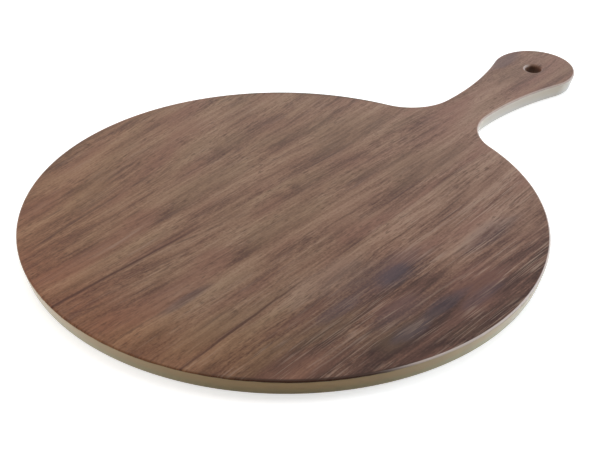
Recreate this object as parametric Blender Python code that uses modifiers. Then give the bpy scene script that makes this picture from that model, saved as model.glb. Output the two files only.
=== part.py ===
"""Round serving board with a paddle handle and a hanging hole.

A pale melamine moulding, hollow underneath, carries a printed wood-grain layer on its top and stands on four
soft feet. Metres, +Z up, handle along +X. The origin lies under the middle of the whole board, on the table.
"""

import math

import bmesh
import bpy

# Outline of the board, in metres
DISC_DIAMETER = 0.305
HANDLE_LENGTH = 0.130  # from the disc's edge to the handle's tip
HANDLE_NECK_WIDTH = 0.032
HANDLE_END_WIDTH = 0.055
HANDLE_FLARE_RADIUS = 0.185  # long hollow curve of the handle's sides
JUNCTION_RADIUS = 0.0335  # hollow corner between the disc and the neck

# Rim and hollow underside of the moulding
BOARD_THICKNESS = 0.0105  # from the rim's underside to the serving face
TOP_EDGE_RADIUS = 0.0004  # on the moulding, under the printed layer
BOTTOM_EDGE_RADIUS = 0.0020
RIM_DRAFT = math.radians(15.0)
RIM_WIDTH = 0.0065  # from the outline to the hollow, at the rim's underside
RIM_LIP_RADIUS = 0.0010
WEB_THICKNESS = 0.0048  # moulding between the printed layer and the hollow
HOLLOW_DRAFT = math.radians(5.0)
HOLLOW_ROOT_RADIUS = 0.0025

# Printed layer
DECOR_THICKNESS = 0.0005
DECOR_SKIRT = 0.0003  # straight band of print below the rounded edge

# Hanging hole
HOLE_DIAMETER = 0.011
HOLE_FROM_TIP = 0.0285
HOLE_MOUTH_RADIUS = 0.0007  # on the moulding, under the printed layer
HOLE_UNDER_CHAMFER = 0.0008
HOLE_COLLAR_LAND = 0.0030  # moulding left below the printed collar that lines the hole

# Feet and bosses
FOOT_COUNT = 4
FOOT_DIAMETER = 0.012
FOOT_PROUD = 0.0010  # how far the feet stand below the rim
FOOT_POCKET_DEPTH = 0.0030
FOOT_EDGE_ROUND = 0.0012
FOOT_LEAD_CHAMFER = 0.0005
FOOT_FROM_EDGE = 0.022  # from a foot's middle to the disc's edge
BOSS_WALL = 0.0035
BOSS_DRAFT = math.radians(2.0)
BOSS_ROOT_FLARE = 0.0012

SEAT_GAP = 0.0003  # clearance between a piece and its seat
TOOL_OVERRUN = 0.0010  # how far a cutter runs past the face that it opens, and a boss into the web

# Facets
TIP_STEPS = 14
FLARE_STEPS = 12
JUNCTION_STEPS = 10
DISC_STEPS = 40
EDGE_STEPS = 3
TURN_STEPS = 32
SHARP_ANGLE = math.radians(35.0)

# Heights and places that follow from the sizes above
DISC_RADIUS = DISC_DIAMETER / 2
HOLE_RADIUS = HOLE_DIAMETER / 2
TIP_X = (DISC_DIAMETER + HANDLE_LENGTH) / 2
DISC_X = TIP_X - HANDLE_LENGTH - DISC_RADIUS
HOLE_X = TIP_X - HOLE_FROM_TIP
DECOR_BUILD_UP = DECOR_THICKNESS + SEAT_GAP
UNDERSIDE_Z = FOOT_PROUD
FACE_Z = UNDERSIDE_Z + BOARD_THICKNESS
SEAT_Z = FACE_Z - DECOR_BUILD_UP
CEILING_Z = SEAT_Z - WEB_THICKNESS
FACE_EDGE_RADIUS = TOP_EDGE_RADIUS + DECOR_BUILD_UP
EDGE_CENTRE_Z = FACE_Z - FACE_EDGE_RADIUS
SKIRT_Z = EDGE_CENTRE_Z - FACE_EDGE_RADIUS * math.sin(RIM_DRAFT) - DECOR_SKIRT
COLLAR_SEAT_Z = UNDERSIDE_Z + HOLE_COLLAR_LAND


def arc(centre, radius, start, stop, steps):
    """Points on an arc, both ends included, as (across, up) pairs."""
    angles = [start + (stop - start) * i / steps for i in range(steps + 1)]
    return [(centre[0] + radius * math.cos(a), centre[1] + radius * math.sin(a)) for a in angles]


def board_outline(inset):
    """The board's outline, moved inwards by inset, as a closed ring of (x, y) points from the tip round.

    One half is four tangent arcs: the handle's round end, the flare of its side, the junction and the disc.
    """
    end_radius = HANDLE_END_WIDTH / 2
    end_x = TIP_X - end_radius
    flare_y = HANDLE_NECK_WIDTH / 2 + HANDLE_FLARE_RADIUS
    flare_x = end_x - math.sqrt((HANDLE_FLARE_RADIUS + end_radius) ** 2 - flare_y**2)

    # The junction's centre lies one junction radius outside the disc and one inside the flare's circle.
    from_disc = DISC_RADIUS + JUNCTION_RADIUS
    from_flare = HANDLE_FLARE_RADIUS - JUNCTION_RADIUS
    span = math.hypot(flare_x - DISC_X, flare_y)
    along = (from_disc**2 - from_flare**2 + span**2) / (2 * span)
    aside = math.sqrt(from_disc**2 - along**2)
    unit_x, unit_y = (flare_x - DISC_X) / span, flare_y / span
    junction_x = DISC_X + along * unit_x + aside * unit_y
    junction_y = along * unit_y - aside * unit_x

    end_angle = math.atan2(flare_y, flare_x - end_x)
    flare_angle = math.atan2(junction_y - flare_y, junction_x - flare_x)
    disc_angle = math.atan2(junction_y, junction_x - DISC_X)

    flare_centre = (flare_x, flare_y)
    junction_centre = (junction_x, junction_y)
    tip = arc((end_x, 0), end_radius - inset, 0, end_angle, TIP_STEPS)
    flare = arc(flare_centre, HANDLE_FLARE_RADIUS + inset, end_angle - math.pi, flare_angle, FLARE_STEPS)
    corner = arc(junction_centre, JUNCTION_RADIUS + inset, flare_angle, disc_angle - math.pi, JUNCTION_STEPS)
    disc = arc((DISC_X, 0), DISC_RADIUS - inset, disc_angle, math.pi, DISC_STEPS)
    half = tip[:-1] + flare[:-1] + corner[:-1] + disc
    return half + [(x, -y) for x, y in reversed(half[1:-1])]


def rim_inset(z, depth=0.0):
    """How far the drafted rim wall, or a face that lies depth behind it, is inside the outline at height z.

    The wall runs on from the face's rounded edge, which it touches where that edge has turned by the draft.
    """
    wall_start = FACE_EDGE_RADIUS * (1 - 1 / math.cos(RIM_DRAFT))
    return wall_start + (EDGE_CENTRE_Z - z) * math.tan(RIM_DRAFT) + depth / math.cos(RIM_DRAFT)


def face_edge(radius):
    """The face's rounded edge, at a radius about its centre, over its widest point to the wall's start."""
    centre = (FACE_EDGE_RADIUS, EDGE_CENTRE_Z)
    over = arc(centre, radius, math.pi / 2, math.pi, EDGE_STEPS)
    return over + arc(centre, radius, math.pi, math.pi + RIM_DRAFT, 1)[1:]


def add_ring(bm, points, z):
    return [bm.verts.new((x, y, z)) for x, y in points]


def add_walls(bm, rings):
    """Quads between each ring and the next."""
    for upper, lower in zip(rings, rings[1:]):
        for i, j in zip(range(len(upper)), [*range(1, len(upper)), 0]):
            bm.faces.new((upper[i], lower[i], lower[j], upper[j]))


def ring_edges(bm, ring):
    return [bm.edges.get((a, b)) for a, b in zip(ring, ring[1:] + ring[:1])]


def smooth_object(name, bm, collection):
    mesh = bpy.data.meshes.new(name)
    bm.to_mesh(mesh)
    bm.free()
    mesh.shade_smooth()
    mesh.set_sharp_from_angle(angle=SHARP_ANGLE)
    obj = bpy.data.objects.new(name, mesh)
    collection.objects.link(obj)
    return obj


def turned(name, mesh, collection):
    """An object that turns a half profile, a mesh in the XZ plane, about its own Z axis."""
    obj = bpy.data.objects.new(name, mesh)
    collection.objects.link(obj)
    screw = obj.modifiers.new("turn", "SCREW")
    screw.axis = "Z"
    screw.angle = math.tau
    screw.steps = TURN_STEPS
    screw.render_steps = TURN_STEPS
    screw.use_merge_vertices = True
    screw.merge_threshold = 0.00001
    screw.use_smooth_shade = True
    return obj


def profile_mesh(name, points):
    """A half profile as a chain of edges, from the axis at the top down the outer side to the axis below."""
    mesh = bpy.data.meshes.new(name)
    edges = [(i, i + 1) for i in range(len(points) - 1)]
    mesh.from_pydata([(r, 0, z) for r, z in points], edges, [])
    return mesh


def as_tool(obj):
    obj.hide_render = True
    obj.display_type = "WIRE"


def add_boolean(obj, tool, operation):
    boolean = obj.modifiers.new(tool.name, "BOOLEAN")
    boolean.operation = operation
    boolean.solver = "EXACT"
    boolean.object = tool


def principled(name, colour, roughness):
    material = bpy.data.materials.new(name)
    material.use_nodes = True
    shader = material.node_tree.nodes["Principled BSDF"]
    shader.inputs["Base Color"].default_value = (*colour, 1.0)
    shader.inputs["Roughness"].default_value = roughness
    shader.inputs["Metallic"].default_value = 0.0
    return material


def foot_places():
    reach = DISC_RADIUS - FOOT_FROM_EDGE
    angles = [math.tau * (i + 0.5) / FOOT_COUNT for i in range(FOOT_COUNT)]
    return [(DISC_X + reach * math.cos(a), reach * math.sin(a)) for a in angles]


def moulding_section():
    """The moulding's section, as (inset, z) pairs from the top face over the rim to the hollow's ceiling."""
    quarter = math.pi / 2
    foot_z = UNDERSIDE_Z + BOTTOM_EDGE_RADIUS
    root_radius = min(HOLLOW_ROOT_RADIUS, (CEILING_Z - UNDERSIDE_Z) / 2)
    root_z = CEILING_Z - root_radius
    lip_z = UNDERSIDE_Z + RIM_LIP_RADIUS
    root_inset = RIM_WIDTH + (root_z - lip_z) * math.tan(HOLLOW_DRAFT) + root_radius
    shoulder_z = SKIRT_Z - SEAT_GAP

    section = face_edge(TOP_EDGE_RADIUS)
    section += [(rim_inset(shoulder_z, DECOR_BUILD_UP), shoulder_z), (rim_inset(shoulder_z), shoulder_z)]
    foot_centre = (rim_inset(foot_z, BOTTOM_EDGE_RADIUS), foot_z)
    section += arc(foot_centre, BOTTOM_EDGE_RADIUS, 2 * quarter + RIM_DRAFT, 3 * quarter, EDGE_STEPS)
    section += arc((RIM_WIDTH - RIM_LIP_RADIUS, lip_z), RIM_LIP_RADIUS, 3 * quarter, 4 * quarter, EDGE_STEPS)
    section += arc((root_inset, root_z), root_radius, 2 * quarter, quarter, EDGE_STEPS)
    return section


def build_moulding(parts):
    """The body before its bosses and holes: its section carried round the outline, closed above and below."""
    bm = bmesh.new()
    rings = [add_ring(bm, board_outline(inset), z) for inset, z in moulding_section()]
    add_walls(bm, rings)
    bm.faces.new(rings[0])
    bm.faces.new(reversed(rings[-1]))
    bmesh.ops.recalc_face_normals(bm, faces=bm.faces)
    return smooth_object("board_body", bm, parts)


def boss_mesh(name, bore_radius):
    """A drafted boss that stands down from the web to the rim's level, with a flared root."""
    tip_radius = bore_radius + BOSS_WALL
    root_z = CEILING_Z - BOSS_ROOT_FLARE
    root_radius = tip_radius + (root_z - UNDERSIDE_Z) * math.tan(BOSS_DRAFT)
    points = [
        (0, CEILING_Z + TOOL_OVERRUN),
        (root_radius + BOSS_ROOT_FLARE + TOOL_OVERRUN, CEILING_Z + TOOL_OVERRUN),
        (root_radius, root_z),
        (tip_radius, UNDERSIDE_Z),
        (0, UNDERSIDE_Z),
    ]
    return profile_mesh(name, points)


def hanging_bore_mesh():
    """What the hanging hole takes out: a rounded mouth, the collar's seat and the hole below it.

    The mouth's arc starts short of level, so that it meets the top face at a clear angle.
    """
    mouth_start = math.radians(75.0)
    collar_bore = HOLE_RADIUS + DECOR_BUILD_UP
    mouth_centre = (collar_bore + HOLE_MOUTH_RADIUS, SEAT_Z - HOLE_MOUTH_RADIUS)
    mouth = arc(mouth_centre, HOLE_MOUTH_RADIUS, mouth_start, math.pi, EDGE_STEPS)
    points = [(0, SEAT_Z + TOOL_OVERRUN), (mouth[0][0], SEAT_Z + TOOL_OVERRUN)]
    points += mouth
    points += [
        (collar_bore, COLLAR_SEAT_Z),
        (HOLE_RADIUS, COLLAR_SEAT_Z),
        (HOLE_RADIUS, UNDERSIDE_Z + HOLE_UNDER_CHAMFER),
        (HOLE_RADIUS + HOLE_UNDER_CHAMFER + TOOL_OVERRUN, UNDERSIDE_Z - TOOL_OVERRUN),
        (0, UNDERSIDE_Z - TOOL_OVERRUN),
    ]
    return profile_mesh("hanging_bore", points)


def foot_pocket_mesh():
    radius = FOOT_DIAMETER / 2 + SEAT_GAP
    top = UNDERSIDE_Z + FOOT_POCKET_DEPTH
    bottom = UNDERSIDE_Z - TOOL_OVERRUN
    return profile_mesh("foot_pocket", [(0, top), (radius, top), (radius, bottom), (0, bottom)])


def finish_moulding(body, tools):
    """Adds the bosses under the web, then opens the hanging hole and the feet's pockets."""
    foot_boss = boss_mesh("foot_boss", FOOT_DIAMETER / 2 + SEAT_GAP)
    foot_pocket = foot_pocket_mesh()
    feet = list(enumerate(foot_places(), 1))
    work = [("hole_boss", boss_mesh("hole_boss", HOLE_RADIUS + DECOR_BUILD_UP), (HOLE_X, 0), "UNION")]
    work += [(f"foot_boss_{i}", foot_boss, place, "UNION") for i, place in feet]
    work += [("hanging_bore", hanging_bore_mesh(), (HOLE_X, 0), "DIFFERENCE")]
    work += [(f"foot_pocket_{i}", foot_pocket, place, "DIFFERENCE") for i, place in feet]
    for name, mesh, place, operation in work:
        tool = turned(name, mesh, tools)
        tool.location = (*place, 0)
        as_tool(tool)
        add_boolean(body, tool, operation)


def build_decor(parts):
    """The printed layer: an open skin over face, rounded edge and hole wall, then thickened inwards."""
    bm = bmesh.new()
    edge = face_edge(FACE_EDGE_RADIUS) + [(rim_inset(SKIRT_Z), SKIRT_Z)]
    edge_rings = [add_ring(bm, board_outline(inset), z) for inset, z in edge]
    add_walls(bm, edge_rings)

    mouth_radius = HOLE_MOUTH_RADIUS + DECOR_BUILD_UP
    mouth_centre = (HOLE_RADIUS + mouth_radius, FACE_Z - mouth_radius)
    collar = arc(mouth_centre, mouth_radius, math.pi / 2, math.pi, EDGE_STEPS)
    collar += [(HOLE_RADIUS, COLLAR_SEAT_Z + SEAT_GAP)]
    collar_rings = []
    for radius, z in collar:
        collar_rings.append(add_ring(bm, arc((HOLE_X, 0), radius, math.tau, 0, TURN_STEPS)[:-1], z))
    add_walls(bm, collar_rings)

    borders = ring_edges(bm, edge_rings[0]) + ring_edges(bm, collar_rings[0])
    bmesh.ops.triangle_fill(bm, use_beauty=True, edges=borders, normal=(0, 0, 1))
    decor = smooth_object("wood_decor_top", bm, parts)
    thicken = decor.modifiers.new("thicken", "SOLIDIFY")
    thicken.thickness = DECOR_THICKNESS
    thicken.offset = -1.0
    thicken.use_even_offset = True
    return decor


def foot_mesh():
    """A soft plug: a chamfered stem in its pocket and a rounded edge where it meets the table."""
    radius = FOOT_DIAMETER / 2
    top = UNDERSIDE_Z + FOOT_POCKET_DEPTH - SEAT_GAP
    points = [(0, top), (radius - FOOT_LEAD_CHAMFER, top)]
    points += [(radius, top - FOOT_LEAD_CHAMFER)]
    points += arc((radius - FOOT_EDGE_ROUND, FOOT_EDGE_ROUND), FOOT_EDGE_ROUND, 0, -math.pi / 2, EDGE_STEPS)
    points += [(0, 0)]
    return profile_mesh("non_slip_foot", points)


for old in list(bpy.data.objects):
    bpy.data.objects.remove(old)
part_collection = bpy.data.collections.new("round_serving_board")
tool_collection = bpy.data.collections.new("cutters")
bpy.context.scene.collection.children.link(part_collection)
bpy.context.scene.collection.children.link(tool_collection)

board = bpy.data.objects.new("serving_board", None)
part_collection.objects.link(board)

body_object = build_moulding(part_collection)
body_object.data.materials.append(principled("cream_melamine", (0.66, 0.60, 0.48), 0.20))
finish_moulding(body_object, tool_collection)

decor_object = build_decor(part_collection)
decor_object.data.materials.append(principled("walnut_print", (0.15, 0.09, 0.065), 0.38))

plug = foot_mesh()
plug.materials.append(principled("grey_silicone", (0.32, 0.31, 0.29), 0.65))
foot_objects = []
for number, (foot_x, foot_y) in enumerate(foot_places(), 1):
    foot = turned(f"non_slip_foot_{number}", plug, part_collection)
    foot.location = (foot_x, foot_y, 0)
    foot_objects.append(foot)

for piece in [body_object, decor_object, *foot_objects]:
    piece.parent = board
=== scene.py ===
"""Looks of a round serving board with a paddle handle: a melamine moulding with a wood print on its face.

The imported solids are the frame. Each piece here stands for one of them, at the same size and place, with a
finer surface and a full finish. Metres, +Z up, handle along +X, feet on the plane z = 0.
"""

import math

import bmesh
import bpy
import numpy as np
from mathutils import Matrix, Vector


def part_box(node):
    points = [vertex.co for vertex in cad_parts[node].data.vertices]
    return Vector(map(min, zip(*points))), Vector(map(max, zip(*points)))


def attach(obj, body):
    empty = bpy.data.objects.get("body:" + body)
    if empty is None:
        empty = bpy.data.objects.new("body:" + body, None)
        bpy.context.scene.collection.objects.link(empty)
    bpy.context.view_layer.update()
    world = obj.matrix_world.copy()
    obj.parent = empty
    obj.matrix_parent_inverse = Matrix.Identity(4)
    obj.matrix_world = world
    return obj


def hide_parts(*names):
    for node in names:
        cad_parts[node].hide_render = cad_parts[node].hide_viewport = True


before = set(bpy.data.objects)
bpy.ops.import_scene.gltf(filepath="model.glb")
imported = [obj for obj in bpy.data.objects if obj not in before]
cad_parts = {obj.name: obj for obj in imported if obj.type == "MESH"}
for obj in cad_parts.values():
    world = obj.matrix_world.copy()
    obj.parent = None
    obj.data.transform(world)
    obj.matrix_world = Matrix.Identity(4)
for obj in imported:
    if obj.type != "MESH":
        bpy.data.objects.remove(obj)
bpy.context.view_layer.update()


# The body is one moulding in pale melamine, disc and paddle handle together. Its rim leans in by fifteen
# degrees and is rounded above and below, so that it leaves the mould, and its underside is hollow, with an
# even wall. Bosses stand in the hollow round the hanging hole and over each foot, down to the rim's level.
body_low, body_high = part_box("board_body")
print_low, print_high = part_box("wood_decor_top")
foot_names = sorted(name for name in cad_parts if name.startswith("non_slip_foot"))
foot_boxes = [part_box(name) for name in foot_names]
foot_places = [((low.x + high.x) / 2, (low.y + high.y) / 2) for low, high in foot_boxes]

TIP_X = print_high.x
DISC_RADIUS = (print_high.y - print_low.y) / 2
DISC_X = print_low.x + DISC_RADIUS
NECK_WIDTH = 0.032
END_RADIUS = 0.0275  # round end of the handle
FLARE_RADIUS = 0.185  # long hollow of the handle's sides
JUNCTION_RADIUS = 0.0335  # hollow corner between disc and neck

UNDERSIDE_Z = body_low.z
SEAT_Z = body_high.z  # where the printed layer lies on the body
SEAT_GAP = 0.0003  # between the body and what is set into it
FACE_Z = print_high.z
EDGE_RADIUS = 0.0012  # rounded edge of the face, over the print
EDGE_CENTRE_Z = FACE_Z - EDGE_RADIUS
RIM_LEAN = 15  # degrees by which the rim's wall leans in below the rounded edge
PRINT_TURN = 75  # degrees of the rounded edge that the print's colour covers
TURN_WANDER = 2.2  # degrees by which a full wave moves the line where it ends
WANDER_WAVES = [(31, 1.0, 1.0), (57, 0.8, 2.2), (95, 0.6, 0.0), (143, 1.0, 4.0)]  # number, height, start
WANDER_ROOM = 10  # degrees kept free for all the waves together
PAST_PRINT = 1.01  # share of the print's turn at which the bare body begins
BOTTOM_RADIUS = 0.0020
RIM_WIDTH = 0.0065
LIP_RADIUS = 0.0010
WEB_THICKNESS = 0.0048
CEILING_Z = SEAT_Z - WEB_THICKNESS
HOLLOW_DRAFT = math.tan(math.radians(5.0))
ROOT_RADIUS = 0.00245  # where the hollow's wall meets the web

HOLE_FROM_TIP = 0.0285
HOLE_X = TIP_X - HOLE_FROM_TIP
HOLE_RADIUS = 0.0055
COLLAR_SEAT_Z = print_low.z - SEAT_GAP
MOUTH_RADIUS = 0.0007  # on the moulding, under the print
UNDER_CHAMFER = 0.0008
FOOT_RADIUS = (foot_boxes[0][1].x - foot_boxes[0][0].x) / 2
POCKET_DEPTH = 0.0030
BOSS_WALL = 0.0035
BOSS_DRAFT = math.tan(math.radians(2.0))
BOSS_FILLET = 0.0012
BOSS_ROUND = 0.0004
POCKET_ROUND = 0.0002
FLAT_MARGIN = 0.0004  # flat strip beside a rounded edge, which keeps the flat's shading level

END_STEPS, FLARE_STEPS, JUNCTION_STEPS, DISC_STEPS = 44, 32, 24, 150
EDGE_STEPS, WALL_STEPS, ROUND_STEPS = 4, 8, 10
BOSS_STEPS, POCKET_STEPS = 5, 4
HOLE_STEPS = 72
SAME_PLACE = 1e-6
SHARP_TURN = math.radians(30)


def arc(centre, radius, start, stop, steps):
    """Points of a circle's arc in degrees, both ends included: centre + radius * (cos, sin)."""
    angle = np.radians(np.linspace(start, stop, steps + 1))
    return np.stack([centre[0] + radius * np.cos(angle), centre[1] + radius * np.sin(angle)], axis=1)


def outline(inset):
    """A closed ring of (x, y) points round the board from the handle's tip, inset from the board's edge.

    Each half is four arcs that run into each other: the handle's round end, the hollow of its side, the
    corner at the disc, and the disc. The outer arcs shrink by the inset and the hollow ones grow.
    """
    end_x = TIP_X - END_RADIUS
    flare_y = NECK_WIDTH / 2 + FLARE_RADIUS
    flare_x = end_x - math.sqrt((FLARE_RADIUS + END_RADIUS) ** 2 - flare_y**2)
    from_disc, from_flare = DISC_RADIUS + JUNCTION_RADIUS, FLARE_RADIUS - JUNCTION_RADIUS
    span = math.hypot(flare_x - DISC_X, flare_y)
    along = (from_disc**2 - from_flare**2 + span**2) / (2 * span)
    aside = math.sqrt(from_disc**2 - along**2)
    toward = np.array([flare_x - DISC_X, flare_y]) / span
    corner = np.array([DISC_X, 0]) + along * toward + aside * np.array([toward[1], -toward[0]])
    end_turn = math.degrees(math.atan2(flare_y, flare_x - end_x))
    flare_turn = math.degrees(math.atan2(corner[1] - flare_y, corner[0] - flare_x))
    disc_turn = math.degrees(math.atan2(corner[1], corner[0] - DISC_X))
    half = np.concatenate([
        arc((end_x, 0), END_RADIUS - inset, 0, end_turn, END_STEPS)[:-1],
        arc((flare_x, flare_y), FLARE_RADIUS + inset, end_turn - 180, flare_turn, FLARE_STEPS)[:-1],
        arc(corner, JUNCTION_RADIUS + inset, flare_turn, disc_turn - 180, JUNCTION_STEPS)[:-1],
        arc((DISC_X, 0), DISC_RADIUS - inset, disc_turn, 180, DISC_STEPS),
    ])
    return np.concatenate([half, half[-2::-1] * (1, -1)])


def swept(section):
    """A section carried round the outline: each point lies its inset inwards from the edge, at its height.

    The section is rows of (inset, height) pairs, with one pair for each point of the outline.
    """
    edge = outline(0)
    inward = outline(1) - edge
    inset, height = section[..., :1], section[..., 1:]
    ring = edge + inset * inward
    return np.concatenate([ring, np.broadcast_to(height, (*ring.shape[:2], 1))], axis=2)


def turned(profile, centre, steps):
    """A profile, (radius, height) pairs, turned about an upright axis: centre + radius * (cos, sin)."""
    radius, height = np.array(profile).T[:, :, None]
    angle = np.linspace(0, math.tau, steps + 1)
    x = centre[0] + radius * np.cos(angle)
    y = centre[1] + radius * np.sin(angle)
    return np.stack([x, y, np.broadcast_to(height, x.shape)], axis=2)


def rim_inset(z, depth=0.0):
    """How far inside the outline the leaning wall, or a face that lies depth behind it, is at height z.

    The wall touches the rounded edge where that has turned down by the wall's lean. With the drop counted
    from the edge's centre, inset = radius * (1 - 1 / cos) + drop * tan + depth / cos.
    """
    lean = math.radians(RIM_LEAN)
    wall_start = EDGE_RADIUS * (1 - 1 / math.cos(lean))
    return wall_start + (EDGE_CENTRE_Z - z) * math.tan(lean) + depth / math.cos(lean)


def face_edge(radius, share):
    """The section of the face's rounded edge, from the flat at share 0 to the end of the print at share 1.

    Its points turn about the edge's own centre. The print's end wanders, by sine waves of different lengths
    that add up, so there is a pair for each point of the outline, and the rows before it give way in part.
    """
    turn = np.linspace(0, math.tau, len(outline(0)))
    waves = sum(height * np.sin(number * turn + begin) for number, height, begin in WANDER_WAVES)
    share = np.reshape(share, (-1, 1))
    angle = np.radians(90 + share * PRINT_TURN + share**2 * TURN_WANDER * waves)
    return np.stack([EDGE_RADIUS + radius * np.cos(angle), EDGE_CENTRE_Z + radius * np.sin(angle)], axis=2)


def surface(name, grids, flats=()):
    """An object whose mesh joins grids of points, rows by columns, with a quad on each four neighbours.

    Points that meet on a seam or a pole are merged, and each flat, (height, up or down), is filled between
    the open edges that lie at its height.
    """
    first = 0
    quads = []
    for grid in grids:
        rows, columns = grid.shape[:2]
        index = first + np.arange(rows * columns).reshape(rows, columns)
        corners = [index[:-1, :-1], index[1:, :-1], index[1:, 1:], index[:-1, 1:]]
        quads.append(np.stack(corners, axis=2).reshape(-1, 4))
        first += rows * columns
    points = np.concatenate([grid.reshape(-1, 3) for grid in grids])
    mesh = bpy.data.meshes.new(name)
    mesh.from_pydata(points, [], np.concatenate(quads))
    bm = bmesh.new()
    bm.from_mesh(mesh)
    bmesh.ops.remove_doubles(bm, verts=bm.verts, dist=SAME_PLACE)
    for height, facing in flats:
        border = [e for e in bm.edges if e.is_boundary and abs(e.verts[0].co.z - height) < SAME_PLACE]
        bmesh.ops.triangle_fill(bm, use_beauty=True, edges=border, normal=(0, 0, facing))
    bm.to_mesh(mesh)
    bm.free()
    mesh.shade_smooth()
    mesh.set_sharp_from_angle(angle=SHARP_TURN)
    piece = bpy.data.objects.new(name, mesh)
    bpy.context.scene.collection.objects.link(piece)
    return piece


def rim_section():
    """The body's section: the seat of the print down to its end, then down the rim and into the hollow."""
    foot_z = UNDERSIDE_Z + BOTTOM_RADIUS
    lip_z = UNDERSIDE_Z + LIP_RADIUS
    root_z = CEILING_Z - ROOT_RADIUS
    root_inset = RIM_WIDTH + (root_z - lip_z) * HOLLOW_DRAFT + ROOT_RADIUS
    wall_z = np.linspace(EDGE_CENTRE_Z, foot_z, WALL_STEPS + 1)[1:-1]
    foot_centre = (rim_inset(foot_z, BOTTOM_RADIUS), foot_z)
    edge_start, wall_start = 90 + PRINT_TURN + WANDER_ROOM, 180 + RIM_LEAN
    lower = np.concatenate([
        arc((EDGE_RADIUS, EDGE_CENTRE_Z), EDGE_RADIUS, edge_start, wall_start, EDGE_STEPS),
        np.stack([rim_inset(wall_z), wall_z], axis=1),
        arc(foot_centre, BOTTOM_RADIUS, wall_start, 270, ROUND_STEPS),
        arc((RIM_WIDTH - LIP_RADIUS, lip_z), LIP_RADIUS, 270, 360, ROUND_STEPS),
        arc((root_inset, root_z), ROOT_RADIUS, 180, 90, ROUND_STEPS),
        [(root_inset + FLAT_MARGIN, CEILING_Z)],
    ])
    seat = face_edge(EDGE_RADIUS - (FACE_Z - SEAT_Z), np.linspace(0, PAST_PRINT, ROUND_STEPS))
    flat = np.broadcast_to((EDGE_RADIUS + FLAT_MARGIN, SEAT_Z), (1, *seat.shape[1:]))
    lower = np.broadcast_to(lower[:, None], (len(lower), *seat.shape[1:]))
    return np.concatenate([flat, seat, face_edge(EDGE_RADIUS, PAST_PRINT), lower])


def boss_outside(bore_radius):
    """A boss's profile from the web, down a hollow root and a drafted wall, to its end beside the bore."""
    end_radius = bore_radius + BOSS_WALL
    root_z = CEILING_Z - BOSS_FILLET
    root_radius = end_radius + (root_z - UNDERSIDE_Z) * BOSS_DRAFT
    return np.concatenate([
        [(root_radius + BOSS_FILLET + FLAT_MARGIN, CEILING_Z)],
        arc((root_radius + BOSS_FILLET, root_z), BOSS_FILLET, 90, 180, ROUND_STEPS),
        arc((end_radius - BOSS_ROUND, UNDERSIDE_Z + BOSS_ROUND), BOSS_ROUND, 0, -90, BOSS_STEPS),
    ])


def hole_boss_profile():
    """The boss round the hanging hole, then up the hole past the collar's seat to the print's seat."""
    collar_bore = HOLE_RADIUS + FACE_Z - SEAT_Z
    mouth = (collar_bore + MOUTH_RADIUS, SEAT_Z - MOUTH_RADIUS)
    return np.concatenate([
        boss_outside(collar_bore),
        [(HOLE_RADIUS + UNDER_CHAMFER, UNDERSIDE_Z), (HOLE_RADIUS, UNDERSIDE_Z + UNDER_CHAMFER)],
        [(HOLE_RADIUS, COLLAR_SEAT_Z), (collar_bore, COLLAR_SEAT_Z)],
        arc(mouth, MOUTH_RADIUS, 180, 90, ROUND_STEPS),
        [(mouth[0] + FLAT_MARGIN, SEAT_Z)],
    ])


def foot_boss_profile():
    """The boss over a foot, with the blind pocket that holds the foot's stem."""
    pocket = FOOT_RADIUS + SEAT_GAP
    top = UNDERSIDE_Z + POCKET_DEPTH
    mouth = arc((pocket + POCKET_ROUND, UNDERSIDE_Z + POCKET_ROUND), POCKET_ROUND, 270, 180, POCKET_STEPS)
    return np.concatenate([boss_outside(pocket), mouth, [(pocket, top), (0, top)]])


class Socket:
    """One output of a material's nodes. Sums and products of it with others or numbers add Math nodes."""

    def __init__(self, tree, output=None):
        self.tree = tree
        self.output = output

    def node(self, kind, settings=None, inputs=None, output=0):
        """Adds a node, makes its settings, a ramp's stops among them, and sets or links its inputs."""
        made = self.tree.nodes.new("ShaderNode" + kind)
        for name, value in (settings or {}).items():
            if name == "stops":
                for element in list(made.color_ramp.elements)[1:]:
                    made.color_ramp.elements.remove(element)
                made.color_ramp.elements[0].position, made.color_ramp.elements[0].color = value[0]
                for position, colour in value[1:]:
                    made.color_ramp.elements.new(position).color = colour
            else:
                setattr(made, name, value)
        for name, value in (inputs or {}).items():
            set_input(made.inputs, name, value)
        return Socket(self.tree, made.outputs[output])

    def math(self, operation, *values):
        return self.node("Math", {"operation": operation}, dict(enumerate(values)))

    def __add__(self, other):
        return self.math("ADD", self, other)

    def __radd__(self, other):
        return self.math("ADD", other, self)

    def __sub__(self, other):
        return self.math("SUBTRACT", self, other)

    def __rsub__(self, other):
        return self.math("SUBTRACT", other, self)

    def __mul__(self, other):
        return self.math("MULTIPLY", self, other)

    def __rmul__(self, other):
        return self.math("MULTIPLY", other, self)

    def __truediv__(self, other):
        return self.math("DIVIDE", self, other)

    def __rtruediv__(self, other):
        return self.math("DIVIDE", other, self)

    def __abs__(self):
        return self.math("ABSOLUTE", self)

    def eased(self, low, high):
        """0 at low and 1 at high, with a soft start and stop between them."""
        return self.node("MapRange", {"interpolation_type": "SMOOTHSTEP"}, {0: self, 1: low, 2: high})

    def mixed(self, first, second, blend="MIX"):
        """A colour between first and second, by this share. A Mix node's colours are 6, 7 and output 2."""
        settings = {"data_type": "RGBA", "blend_type": blend}
        return self.node("Mix", settings, {0: self, 6: first, 7: second}, output=2)


def set_input(inputs, name, value):
    """Links a node's input to an output, or sets it to a number or a colour."""
    if isinstance(value, Socket):
        value.tree.links.new(value.output, inputs[name])
    else:
        inputs[name].default_value = value


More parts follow.
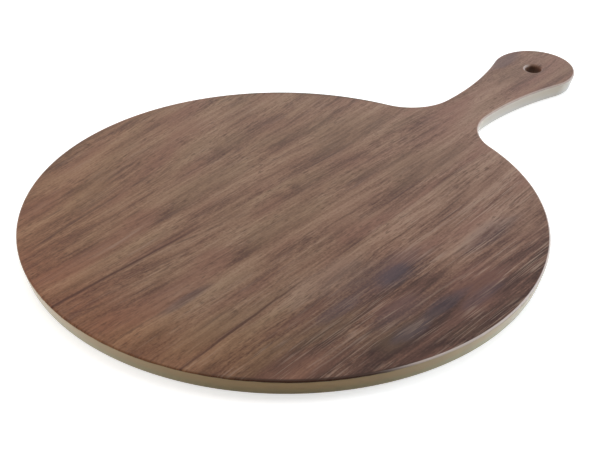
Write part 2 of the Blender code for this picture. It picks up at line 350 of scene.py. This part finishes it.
def paint(red, green, blue):
    """A colour picked on screen, 0 to 255, as the linear light that a shader reads."""
    screen = np.array([red, green, blue]) / 255
    light = np.where(screen <= 0.04045, screen / 12.92, ((screen + 0.055) / 1.055) ** 2.4)
    return (*light.tolist(), 1.0)


MM = 1000  # in a metre
SEED_STEPS = (7.31, 3.77)  # how far apart two seeds of a cloud lie on its axes
# CREAM_LOWER is a painted reflection: the rim cooler and greyer low down, where the floor is mirrored in it
CREAM_UPPER = paint(206, 190, 160)
CREAM_LOWER = paint(198, 195, 166)
CREAM_STAIN = paint(186, 172, 146)
# painted reflection: the handle's rim paler and cooler, most on its lower part
CREAM_HANDLE_PAINTED_LIGHT = paint(226, 226, 229)
# painted shade: the rim darker at the disc's left, at its right and round the handle's tip
LEFT_PAINTED_SHADE = (0.80, 0.74, 0.66, 1.0)  # of the rim at the disc's left
RIGHT_PAINTED_SHADE = (0.78, 0.77, 0.78, 1.0)  # at its right
TIP_PAINTED_SHADE = (0.78, 0.78, 0.76, 1.0)  # round the handle's tip
LEFT_TO_RIGHT = (0.654, -0.756)  # direction across the board, when its handle points away to the right
DISC_MIDDLE = DISC_X * MM
RIM_TURN = 150  # mm of rim for each radian round the disc


def new_material(name):
    """A material, its Principled shader's inputs, its tree's start and the place on the board in mm."""
    material = bpy.data.materials.new(name)
    material.use_nodes = True
    start = Socket(material.node_tree)
    place = start.node("TexCoord", output="Object")
    axes = [start.node("SeparateXYZ", {}, {0: place}, output=axis) * MM for axis in "XYZ"]
    return material, material.node_tree.nodes["Principled BSDF"].inputs, start, axes


def cloud(start, place, sizes, seed, detail=2.0):
    """Soft noise from 0 to 1, whose blots have about these sizes, in mm, along the place's two axes."""
    first, second = (value / size + seed * step for value, size, step in zip(place, sizes, SEED_STEPS))
    spot = start.node("CombineXYZ", {}, {0: first, 1: second})
    inputs = {"Vector": spot, "Scale": 1.0, "Detail": detail}
    return start.node("TexNoise", {"noise_dimensions": "2D"}, inputs)


def even_noise(start, scale):
    """Noise that is the same in all three directions, with about this many waves to the metre."""
    return start.node("TexNoise", {}, {"Vector": start.node("TexCoord", output="Object"), "Scale": scale})


def bump(start, height, strength, depth):
    """The shading of small dents and rises, whose height of 1 stands for a depth in metres."""
    return start.node("Bump", {}, {"Strength": strength, "Distance": depth, "Height": height})


cream_melamine, inputs, start, (x, y, z) = new_material("cream_melamine_gloss")
along = x - DISC_MIDDLE
side = along * LEFT_TO_RIGHT[0] + y * LEFT_TO_RIGHT[1]
round_rim = start.math("ARCTAN2", y, along) * RIM_TURN
rim_cloud = cloud(start, (round_rim, z), (38, 5), seed=1)
# painted reflection: towards its foot the rim takes the cooler, greyer tone of the floor mirrored in it
upper = (z + (rim_cloud - 0.5) * 4).eased(3.5, 7.5)
cream = upper.mixed(CREAM_LOWER, CREAM_UPPER)
on_handle = along.eased(150, 185)
# painted reflection: the handle's rim turns paler and cooler, more so low down
cream = (on_handle * (0.95 - upper * 0.30)).mixed(cream, CREAM_HANDLE_PAINTED_LIGHT)
# painted shade on the rim at the disc's left, at its right and round the handle's tip
cream = side.eased(-112, -146).mixed(cream, LEFT_PAINTED_SHADE, "MULTIPLY")
cream = (side.eased(112, 142) * (1 - on_handle)).mixed(cream, RIGHT_PAINTED_SHADE, "MULTIPLY")
cream = along.eased(243, 265).mixed(cream, TIP_PAINTED_SHADE, "MULTIPLY")
stain = cloud(start, (x, y), (22, 22), seed=2, detail=3).eased(0.55, 0.8) * 0.35
smudge = cloud(start, (x, y), (14, 14), seed=3, detail=4)
set_input(inputs, "Base Color", stain.mixed(cream, CREAM_STAIN))
set_input(inputs, "Roughness", 0.15 + smudge * 0.12)
set_input(inputs, "IOR", 1.32)
set_input(inputs, "Normal", bump(start, even_noise(start, 260.0), strength=0.05, depth=0.0002))

body_grids = [swept(rim_section()), turned(hole_boss_profile(), (HOLE_X, 0), HOLE_STEPS)]
body_grids += [turned(foot_boss_profile(), place, HOLE_STEPS) for place in foot_places]
moulded_body = surface("moulded_body", body_grids, [(SEAT_Z, 1), (CEILING_Z, -1)])
moulded_body.data.materials.append(cream_melamine)
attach(moulded_body, "root")
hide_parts("board_body")


# The face is a decor sheet with a walnut print, pressed into the melamine while it cures. It runs over the
# rounded edge and ends low on it, in a line that wanders slightly, and it turns down into the hanging hole
# as a collar. A thin glaze shines on the turned edge.
PRINT_THICKNESS = 0.0005
FACE_ROWS = 14
HUB_REACH = 0.012  # how far before the hole the face's grid starts to turn round it
SPINE_BEND_X = DISC_X + 0.06  # up to here from the handle, the grid's lines run square to the middle line
SPINE_END_X = DISC_X - 0.09  # where the middle line ends on the disc
FAN_DEPTH = 0.0005  # edge points this near the disc's far end all go to the middle line's last point


def face_grid(hole_radius, inset):
    """The flat face as straight lines from the hanging hole and the middle line to the edge.

    The edge's points on the handle's end go to the hole, by equal angles. The others go to the middle line:
    straight across to it on the handle, and closer together on the disc, where it stops short of the edge.
    Returns the grid and the number of steps round the hole.
    """
    edge = outline(inset)
    last = len(edge) // 2
    turn = int(np.argmax(edge[:, 0] < HOLE_X - HUB_REACH))
    angle = np.linspace(0, math.pi, turn + 1)
    hub = np.stack([HOLE_X + hole_radius * np.cos(angle), hole_radius * np.sin(angle)], axis=1)
    edge_x = edge[turn + 1 : last + 1, 0]
    fan_x = edge[last, 0] + FAN_DEPTH
    spine_x = np.interp(edge_x, [fan_x, SPINE_BEND_X, TIP_X], [SPINE_END_X, SPINE_BEND_X, TIP_X])
    half = np.concatenate([hub, np.stack([spine_x, np.zeros_like(spine_x)], axis=1)])
    middle = np.concatenate([half, half[-2::-1] * (1, -1)])
    step = np.linspace(0, 1, FACE_ROWS)[:, None, None]
    flat = middle + step * (edge - middle)
    return np.concatenate([flat, np.full((*flat.shape[:2], 1), FACE_Z)], axis=2), 2 * turn


edge_section = face_edge(EDGE_RADIUS, np.linspace(0, 1, ROUND_STEPS + 2))
margin = np.broadcast_to((EDGE_RADIUS + FLAT_MARGIN, FACE_Z), (1, *edge_section.shape[1:]))
print_edge = swept(np.concatenate([margin, edge_section]))
mouth_radius = MOUTH_RADIUS + FACE_Z - SEAT_Z
mouth_centre = (HOLE_RADIUS + mouth_radius, FACE_Z - mouth_radius)
collar_profile = np.concatenate([
    [(HOLE_RADIUS, print_low.z)],
    arc(mouth_centre, mouth_radius, 180, 90, ROUND_STEPS),
    [(mouth_centre[0] + FLAT_MARGIN, FACE_Z)],
])
flat_face, collar_steps = face_grid(mouth_centre[0] + FLAT_MARGIN, EDGE_RADIUS + FLAT_MARGIN)
collar = turned(collar_profile, (HOLE_X, 0), collar_steps)
printed_face = surface("printed_face", [collar, flat_face, print_edge])
thickness = printed_face.modifiers.new("sheet_thickness", "SOLIDIFY")
thickness.thickness = PRINT_THICKNESS
thickness.offset = -1.0
thickness.use_even_offset = True

WALNUT_DARK = paint(60, 37, 30)
WALNUT_LINE = paint(80, 52, 42)
WALNUT_DEEP = paint(101, 71, 57)
WALNUT_MID = paint(130, 97, 77)
WALNUT_PALE = paint(164, 133, 109)
WALNUT_FLECK = paint(166, 141, 124)
WALNUT_ROSE = paint(138, 98, 81)
WALNUT_OLIVE = paint(127, 102, 78)
SMOKE_BLUE = paint(70, 64, 76)
SEAM_BROWN = paint(72, 39, 31)
EDGE_SHADE_BROWN = paint(54, 27, 10)
PAINTED_SHEEN_GREY = paint(220, 203, 195)
# painted light: the print warmer at the disc's left and cooler at its right
WARM_PAINTED_LIGHT = (1.0, 0.90, 0.80, 1.0)  # of the print at the disc's left
COOL_PAINTED_LIGHT = (1.0, 0.99, 1.10, 1.0)  # at its right
END_TINT = (1.06, 0.95, 0.92, 1.0)  # at the edge across from the handle
FRONT_TINT = (0.91, 0.86, 0.75, 1.0)  # between that edge and the disc's front
SEAM_BLUR = 0.3
BELOW_SHIFT, ABOVE_SHIFT = 37, 61  # of the outer planks' figure, so that it doesn't run on over a seam
KNOT_ALONG, KNOT_Y = 206, 8
KNOT_LENGTH, KNOT_WIDTH = 17, 6.5
FACE_TOP = FACE_Z * MM
FLAT_EDGE = (DISC_RADIUS - EDGE_RADIUS) * MM
HOLE_ALONG = (HOLE_X - DISC_X) * MM
HOLE_SIDE = HOLE_ALONG * LEFT_TO_RIGHT[0]
HOLE_EDGE = HOLE_RADIUS * MM

# Places on the print, mm from the disc's middle: along to the handle, side to the right, near to the front
walnut_print, inputs, start, (x, y, z) = new_material("walnut_print_satin")
along = x - DISC_MIDDLE
side = along * LEFT_TO_RIGHT[0] + y * LEFT_TO_RIGHT[1]
near = along * LEFT_TO_RIGHT[1] - y * LEFT_TO_RIGHT[0]
front = y.eased(-40, -115)
right_front = along.eased(-20, 50) * y.eased(-30, -65)
# where a painted sheen lightens the print at its right front
painted_sheen = right_front * y.eased(-128, -90)
handle = along.eased(140, 170)


def ripple(place, length, width, seed, detail=1):
    """Soft noise from -0.5 to 0.5 whose blots are about this long and wide, in mm."""
    return cloud(start, place, (length, width), seed, detail) - 0.5


def oval(centre, length, width):
    """0 in the middle of an oval and 1 on its edge: (along / length) ** 2 + (y / width) ** 2."""
    far_x, far_y = (along - centre[0]) / length, (y - centre[1]) / width
    return far_x * far_x + far_y * far_y


def mm_from(centre):
    """How far a place on the print is from a centre, in mm: the root of a circle's sum of squares."""
    return start.math("SQRT", oval(centre, 1, 1))


# Planks of the print, split by two seams, each with a lean of its own to its grain
seam_above = 26.0 - along * 0.025
seam_below = along * 0.055 - 49.915
plank_above = (y - seam_above).eased(-SEAM_BLUR, SEAM_BLUR)
plank_below = (seam_below - y).eased(-SEAM_BLUR, SEAM_BLUR)
lean_above = y.eased(30, 95) * 0.10
lean_between = y.eased(20, -55) * 0.075 - 0.022
lean_below = y.eased(-140, -60) * 0.05
lean = plank_above * lean_above + plank_below * lean_below + (1 - plank_above - plank_below) * lean_between
straight = (along, y)
sway = ripple(straight, 150, 60, seed=4, detail=2) * 6
knot_far = oval((KNOT_ALONG, KNOT_Y), KNOT_LENGTH, KNOT_WIDTH)
knot = knot_far.eased(2.4, 0)
grain_y = y - lean * along + sway + knot * (y - KNOT_Y) * 0.8
grain = (along, grain_y + plank_below * BELOW_SHIFT - plank_above * ABOVE_SHIFT)

# Tone of the figure: broad bands, streaks and fine grain, each with its share of the contrast, then painted
# shade towards the front and a painted sheen at the right front
blot = ripple(grain, 85, 34, seed=5)
band = ripple(grain, 120, 15, seed=6)
stripe = ripple(grain, 75, 6.5, seed=16)
streak = ripple(grain, 55, 3.2, seed=7)
line = ripple(grain, 34, 1.45, seed=8)
dash_patch = cloud(start, straight, (45, 13), seed=19, detail=1).eased(0.35, 0.68)
dash = ripple(grain, 8, 1.2, seed=9) * (0.45 + dash_patch * 0.9)
speck = ripple(straight, 1.7, 1.1, seed=18)
crisp = (0.95 + right_front * 0.35) * (1 - handle * 0.4)
tone = 0.55 + blot * 0.30 + band * 0.40 + dash * 0.30 + speck * 0.26
tone = tone + (stripe * 0.38 + streak * 0.34 + line * 0.30) * crisp
# painted shade: the print darker towards the disc's front and its near edge; painted sheen: lighter at the
# right front
tone = tone - front * (1 - painted_sheen * 0.9) * 0.25 - y.eased(-105, -150) * 0.10 + painted_sheen * 0.11
tone = tone + along.eased(135, 165) * along.eased(225, 190) * 0.07
tone = tone + start.math("SINE", knot_far * 4) * knot * 0.06
stops = [(0.10, WALNUT_DARK), (0.38, WALNUT_DEEP), (0.52, WALNUT_MID), (0.85, WALNUT_PALE)]
walnut = start.node("ValToRGB", {"stops": stops}, {0: tone})
hue = cloud(start, grain, (70, 22), seed=10, detail=1)
walnut = (hue.eased(0.50, 0.72) * 0.45).mixed(walnut, WALNUT_ROSE)
walnut = (hue.eased(0.50, 0.28) * (0.32 - right_front * 0.20)).mixed(walnut, WALNUT_OLIVE)
# painted light: the print warmer towards the disc's left and cooler towards its right
walnut = side.eased(-30, -150).mixed(walnut, WARM_PAINTED_LIGHT, "MULTIPLY")
walnut = side.eased(-20, 150).mixed(walnut, COOL_PAINTED_LIGHT, "MULTIPLY")
walnut = along.eased(-90, -150).mixed(walnut, END_TINT, "MULTIPLY")
walnut = (near.eased(75, 130) * side.eased(35, -25)).mixed(walnut, FRONT_TINT, "MULTIPLY")


def soft_patch(centre, length, width):
    """A soft blot: 1 in its middle, easing to 0 at an oval edge that noise breaks up."""
    edge = ripple(straight, 22, 6, seed=centre[0], detail=2) * 0.9
    return (oval(centre, length, width) + edge).eased(1, 0)


patches = [
    (SMOKE_BLUE, 0.46, soft_patch((-4, -84), 18, 10)),
    (SMOKE_BLUE, 0.26, soft_patch((-10, -80), 48, 15)),
    (SMOKE_BLUE, 0.30, soft_patch((-50, -83), 24, 6)),
    (SMOKE_BLUE, 0.46, soft_patch((-39, -122), 20, 7)),
    (SMOKE_BLUE, 0.38, soft_patch((-8, -121), 26, 7)),
    (SMOKE_BLUE, 0.34, soft_patch((14, -131), 24, 6)),
    (SMOKE_BLUE, 0.26, soft_patch((66, -98), 36, 10)),
    (SMOKE_BLUE, 0.32, soft_patch((-98, -17), 26, 4.5)),
    (SMOKE_BLUE, 0.24, soft_patch((-30, -107), 30, 10)),
    # painted reflection: a blue-grey patch on the handle's far side, in the smoke colour
    (SMOKE_BLUE, 0.38, soft_patch((250, 21), 22, 7)),
    (WALNUT_FLECK, 0.22, soft_patch((-33, -60), 48, 14)),
    (WALNUT_ROSE, 0.30, soft_patch((-107, -95), 30, 12)),
]
for colour, strength, patch in patches:
    walnut = (patch * strength).mixed(walnut, colour)

# Thin lines of the figure, pale and dark, which come in patches and are densest at the front, and pores
fleck_share = 0.30 + front * 0.5 + right_front * 0.35
fleck_patch = cloud(start, straight, (55, 16), seed=11).eased(0.40, 0.60) * fleck_share
fleck = cloud(start, grain, (30, 0.9), seed=12, detail=1).eased(0.54, 0.68) * fleck_patch * (1 - handle)
walnut = (fleck * 0.60).mixed(walnut, WALNUT_FLECK)
vein_patch = cloud(start, straight, (70, 20), seed=14).eased(0.42, 0.62) * (0.35 + right_front * 0.5)
vein = cloud(start, grain, (90, 1.5), seed=15, detail=0).eased(0.36, 0.24) * vein_patch * (1 - handle)
walnut = (vein * 0.55).mixed(walnut, WALNUT_DARK)
pore = cloud(start, grain, (6, 0.8), seed=13, detail=0).eased(0.36, 0.22)
walnut = (pore * (0.12 + dash_patch * 0.32)).mixed(walnut, WALNUT_DARK)


def drawn_line(begin, end, width, bend=0.0, fade_in=0.15, fade_out=0.3):
    """A line of the print: 1 on its middle and 0 past its half width, fading in and out along its length.

    Its middle runs straight from begin to end, (along, y), plus a bow of 4 * bend * share * (1 - share),
    and noise moves it a little to either side.
    """
    share = (along - begin[0]) / (end[0] - begin[0])
    middle = begin[1] + (end[1] - begin[1]) * share + 4 * bend * share * (1 - share)
    wander = ripple(straight, 22, 40, seed=begin[1] + end[0]) * 1.2
    core = (abs(y - middle - wander) / width).eased(1, 0.1)
    return core * share.eased(0, fade_in) * share.eased(1, 1 - fade_out)


dark_lines = [
    (0.68, drawn_line((-128, 79.5), (4, 90.5), 1.4, bend=0.8)),
    (0.53, drawn_line((-99, 98.5), (-78, 99.5), 1.5)),
    (0.53, drawn_line((-76, 65.8), (-48, 65), 1.4)),
    (0.48, drawn_line((-56, 72.5), (-20, 75), 1.2)),
    (0.48, drawn_line((-64, 58), (-38, 57.5), 1.2)),
    (0.63, drawn_line((-152, 22), (-128, 13), 1.1, bend=-2.0, fade_in=0.02)),
    (0.53, drawn_line((-154, 12.8), (-66, 11.5), 0.9, fade_in=0.02)),
    (0.58, drawn_line((-98, 18), (-70, 15.4), 1.3)),
    (0.63, drawn_line((-68, 25.8), (-10, 17), 1.4)),
    (0.53, drawn_line((-152, -15.4), (-60, -18), 1.4, fade_in=0.02)),
    (0.58, drawn_line((2, -96), (92, -97), 1.2)),
    (0.58, drawn_line((2, -117), (60, -115), 1.3)),
    (0.53, drawn_line((20, -84), (70, -87), 1.1)),
    (0.55, drawn_line((251, -8.5), (279, -3), 1.1, fade_in=0.1, fade_out=0.15)),
]
worn = cloud(start, grain, (16, 3), seed=17, detail=1).eased(0.30, 0.62)
for strength, drawn in dark_lines:
    walnut = (drawn * worn * strength).mixed(walnut, WALNUT_LINE)
whole_lines = [
    (WALNUT_FLECK, 0.35, drawn_line((-94, 48.5), (-60, 51.5), 1.5)),
    (WALNUT_FLECK, 0.30, drawn_line((-91, 36), (-62, 37), 1.0)),
    (WALNUT_FLECK, 0.35, drawn_line((32, -73), (116, -74), 1.1)),
    (WALNUT_FLECK, 0.30, drawn_line((-24, -110.5), (30, -112), 0.9)),
    (WALNUT_FLECK, 0.30, drawn_line((-100, -103), (-48, -104), 0.8)),
    (WALNUT_FLECK, 0.30, drawn_line((-102, -107), (-56, -107.6), 0.8)),
    (SEAM_BROWN, 0.85, drawn_line((-154, 30.2), (-26, 26.8), 1.6, fade_in=0.001)),
    (SEAM_BROWN, 0.70, drawn_line((-148, -57.8), (-28, -50.4), 1.2, bend=0.5, fade_in=0.001)),
]
for colour, strength, drawn in whole_lines:
    walnut = (drawn * strength).mixed(walnut, colour)

# The turned edge: painted shade at the disc's front, a painted sheen at its right, and a painted highlight
# on the lip at the hanging hole
turned_down = z.eased(FACE_TOP - 0.004, FACE_TOP - 0.07)
glazed = turned_down * z.eased(FACE_TOP - 1.5, FACE_TOP - 0.9)
# painted shade: the rounded edge of the print dark at the disc's front
shaded_front_edge = side.eased(-45, 0) * side.eased(80, 50) * mm_from((0, 0)).eased(FLAT_EDGE - 1.3, FLAT_EDGE + 0.1)
at_mouth = mm_from((HOLE_ALONG, 0)).eased(HOLE_EDGE + 3.5, HOLE_EDGE + 2)
# painted sheen: the print's rounded edge pale at the disc's right
painted_edge_sheen = turned_down * side.eased(46, 76) * y.eased(10, -5) * (1 - handle * 0.45) * (1 - at_mouth)
# painted highlight on one side of the hanging hole's rounded mouth
painted_lip_highlight = glazed * at_mouth * side.eased(HOLE_SIDE, HOLE_SIDE - 5)
walnut = (shaded_front_edge * 0.9).mixed(walnut, EDGE_SHADE_BROWN)
walnut = (painted_edge_sheen * 0.9 + painted_lip_highlight * 0.55).mixed(walnut, PAINTED_SHEEN_GREY)
coat = glazed * (0.06 + side.eased(20, 110) * 0.94) * (1 - at_mouth * 0.9)
set_input(inputs, "Base Color", walnut)
set_input(inputs, "Coat Weight", coat)
set_input(inputs, "Coat Roughness", 0.25)
set_input(inputs, "Roughness", 0.36 + (line + dash) * 0.15 + pore * 0.1)
set_input(inputs, "IOR", 1.21)
set_input(inputs, "Normal", bump(start, line + dash - pore, strength=0.10, depth=0.0002))

printed_face.data.materials.append(walnut_print)
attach(printed_face, "root")
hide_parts("wood_decor_top")


# The feet are four soft plugs of grey silicone, pressed by hand into the bosses of the underside. Each has
# a chamfered stem and a rounded sole that stands a millimetre below the rim.
SOLE_ROUND = 0.0012
STEM_CHAMFER = 0.0005
SILICONE = paint(152, 150, 144)
SILICONE_DUST = paint(176, 173, 165)

grey_silicone, inputs, start, (x, y, _) = new_material("grey_silicone_matt")
dust = cloud(start, (x, y), (3.5, 3.5), seed=13, detail=4)
set_input(inputs, "Base Color", dust.eased(0.45, 0.75).mixed(SILICONE, SILICONE_DUST))
set_input(inputs, "Roughness", 0.55 + dust * 0.2)
set_input(inputs, "Normal", bump(start, even_noise(start, 3000.0), strength=0.15, depth=0.0001))

stem_top = UNDERSIDE_Z + POCKET_DEPTH - SEAT_GAP
plug_profile = np.concatenate([
    [(0, stem_top), (FOOT_RADIUS - STEM_CHAMFER, stem_top), (FOOT_RADIUS, stem_top - STEM_CHAMFER)],
    arc((FOOT_RADIUS - SOLE_ROUND, SOLE_ROUND), SOLE_ROUND, 0, -90, ROUND_STEPS),
    [(FOOT_RADIUS - SOLE_ROUND - FLAT_MARGIN, 0), (0, 0)],
])
for name, place in zip(foot_names, foot_places):
    plug = surface(name.replace("non_slip_foot", "foot_plug"), [turned(plug_profile, place, HOLE_STEPS)])
    plug.data.materials.append(grey_silicone)
    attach(plug, "root")
    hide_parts(name)


# The camera stands where the photograph was taken from: in front and above, with the handle pointing away
# to the right. Its turn is counted from the handle, as the board lies in this frame.
IMAGE_WIDTH = 600
FOCAL_PIXELS = 1537.8
SENSOR_WIDTH = 36.0
VIEW_TURN = math.radians(49.147)
VIEW_TILT = math.radians(32.736)
VIEW_ROLL = math.radians(0.945)
VIEW_DISTANCE = 0.8970
AIM_RIGHT, AIM_AWAY = 0.00922, 0.00669  # from the disc's middle, on the rim's underside

right = np.array([math.cos(VIEW_TURN), -math.sin(VIEW_TURN), 0])
away = np.array([math.sin(VIEW_TURN), math.cos(VIEW_TURN), 0])
skyward = np.array([0, 0, 1.0])
disc_middle = np.array([DISC_X, 0, UNDERSIDE_Z])
back = -math.cos(VIEW_TILT) * away + math.sin(VIEW_TILT) * skyward
level_up = math.sin(VIEW_TILT) * away + math.cos(VIEW_TILT) * skyward
camera_right = math.cos(VIEW_ROLL) * right + math.sin(VIEW_ROLL) * level_up
camera_up = math.cos(VIEW_ROLL) * level_up - math.sin(VIEW_ROLL) * right
camera_place = disc_middle + AIM_RIGHT * right + AIM_AWAY * away + VIEW_DISTANCE * back


def put(piece, axes, place):
    """Links a camera or a lamp to the scene, at this place and with its own three axes turned to these."""
    matrix = np.eye(4)
    matrix[:3] = np.stack([*axes, place], axis=1)
    piece.matrix_world = Matrix(matrix)
    bpy.context.scene.collection.objects.link(piece)


camera_data = bpy.data.cameras.new("photo_camera")
camera_data.sensor_width = SENSOR_WIDTH
camera_data.lens = FOCAL_PIXELS * SENSOR_WIDTH / IMAGE_WIDTH
camera = bpy.data.objects.new("photo_camera", camera_data)
put(camera, (camera_right, camera_up, back), camera_place)
bpy.context.scene.camera = camera


# The studio is a pale floor that turns white away from the board, a white surround and four soft boxes: one
# overhead, one behind, and one on each side that reflections leave out. The front of the rim is in shade.
# Where the board covers the floor, out of sight, the floor glows and lights the underside.
FLOOR_SIZE = 8.0
FLOOR_PALE = paint(232, 232, 232)
FLOOR_BOUNCE = paint(206, 180, 143)
FLOOR_GLOW = paint(212, 212, 212)
UNDER_GLOW = paint(200, 200, 200)
AMBIENT = paint(46, 44, 42)
WHITE = paint(255, 255, 255)
BLACK = paint(0, 0, 0)
WHITE_RANGE = (0.30, 0.75)  # from the board's middle, where the floor starts to whiten and is white
GLOW_DISC = (0.142, 0.134)  # from the disc's middle, where the glow under it starts and is full
GLOW_HANDLE = (0.011, 0.008)  # the same from the handle's middle line
GLOW_NECK = (DISC_X, DISC_X + 0.1)  # and along the handle, at the disc
GLOW_HOLE = (HOLE_X - 0.014, HOLE_X - 0.018)  # and before the hanging hole


def seen_directly(start):
    """1 for what the camera sees, openly, in a reflection or through glass, and 0 for bounced light."""
    names = ("Is Camera Ray", "Is Glossy Ray", "Is Transmission Ray")
    rays = [start.node("LightPath", output=name) for name in names]
    return start.math("MAXIMUM", start.math("MAXIMUM", rays[0], rays[1]), rays[2])


def glowing(start, colour, glow):
    """A matt surface of this colour that also gives off light of the glow's colour."""
    matt = start.node("BsdfDiffuse", {}, {"Color": colour})
    return start.node("AddShader", {}, {0: matt, 1: start.node("Emission", {}, {"Color": glow})})


floor_mesh = bpy.data.meshes.new("floor")
corners = np.array([(-1, -1, 0), (1, -1, 0), (1, 1, 0), (-1, 1, 0)]) * FLOOR_SIZE / 2
floor_mesh.from_pydata(corners, [], [(0, 1, 2, 3)])
floor = bpy.data.objects.new("floor", floor_mesh)
bpy.context.scene.collection.objects.link(floor)
floor_paint = bpy.data.materials.new("floor_paint")
floor_paint.use_nodes = True
floor_paint.node_tree.nodes.clear()
start = Socket(floor_paint.node_tree)
place = start.node("TexCoord", output="Object")
floor_x, floor_y = (start.node("SeparateXYZ", {}, {0: place}, output=axis) for axis in "XY")
far_away = start.node("VectorMath", {"operation": "LENGTH"}, {0: place}, output="Value")
ends = {0: place, 1: (DISC_X, 0, 0)}
from_disc = start.node("VectorMath", {"operation": "DISTANCE"}, ends, output="Value")
under_handle = floor_x.eased(*GLOW_NECK) * floor_x.eased(*GLOW_HOLE) * abs(floor_y).eased(*GLOW_HANDLE)
covered = start.math("MAXIMUM", from_disc.eased(*GLOW_DISC), under_handle)
pale = glowing(start, FLOOR_PALE, far_away.eased(*WHITE_RANGE).mixed(FLOOR_GLOW, WHITE))
bounce = glowing(start, FLOOR_BOUNCE, covered.mixed(BLACK, UNDER_GLOW))
shown = start.node("MixShader", {}, {0: seen_directly(start), 1: bounce, 2: pale})
below = start.node("NewGeometry", output="Backfacing")
open_below = start.node("MixShader", {}, {0: below, 1: shown, 2: start.node("BsdfTransparent")})
output = floor_paint.node_tree.nodes.new("ShaderNodeOutputMaterial")
set_input(output.inputs, "Surface", open_below)
floor_mesh.materials.append(floor_paint)

world = bpy.data.worlds.new("studio")
world.use_nodes = True
world.node_tree.nodes.clear()
start = Socket(world.node_tree)
sky = start.node("Background", {}, {"Color": seen_directly(start).mixed(AMBIENT, WHITE)})
output = world.node_tree.nodes.new("ShaderNodeOutputWorld")
set_input(output.inputs, "Surface", sky)
bpy.context.scene.world = world


def soft_box(name, turn, tilt, distance, size, power, colour, mirrored=True):
    """A rectangular lamp aimed at the disc, in reflections too where it is mirrored.

    Its turn is from the camera's side to the right and its tilt is above the floor, in degrees.
    """
    turn, tilt = math.radians(turn), math.radians(tilt)
    outward = math.cos(tilt) * (math.sin(turn) * right - math.cos(turn) * away) + math.sin(tilt) * skyward
    level = np.cross(skyward, outward)
    level = level / np.linalg.norm(level)
    lamp = bpy.data.lights.new(name, "AREA")
    lamp.shape = "RECTANGLE"
    lamp.size, lamp.size_y = size
    lamp.energy = power
    lamp.color = colour
    box = bpy.data.objects.new(name, lamp)
    box.visible_camera = False
    box.visible_glossy = mirrored
    put(box, (level, np.cross(outward, level), outward), disc_middle + distance * outward)


soft_box("overhead_box", 180, 78, 1.4, (1.5, 1.1), 10.5, (1.0, 0.99, 0.98))
soft_box("left_box", -92, 18, 1.5, (0.9, 0.8), 11.0, (1.0, 0.99, 0.96), mirrored=False)
soft_box("right_box", 98, 18, 1.4, (0.7, 0.5), 12.5, (0.88, 1.0, 1.10), mirrored=False)
soft_box("back_box", 180, 14, 2.0, (2.2, 0.5), 6.0, (1.0, 1.0, 1.0))

bpy.context.scene.view_settings.view_transform = "Standard"
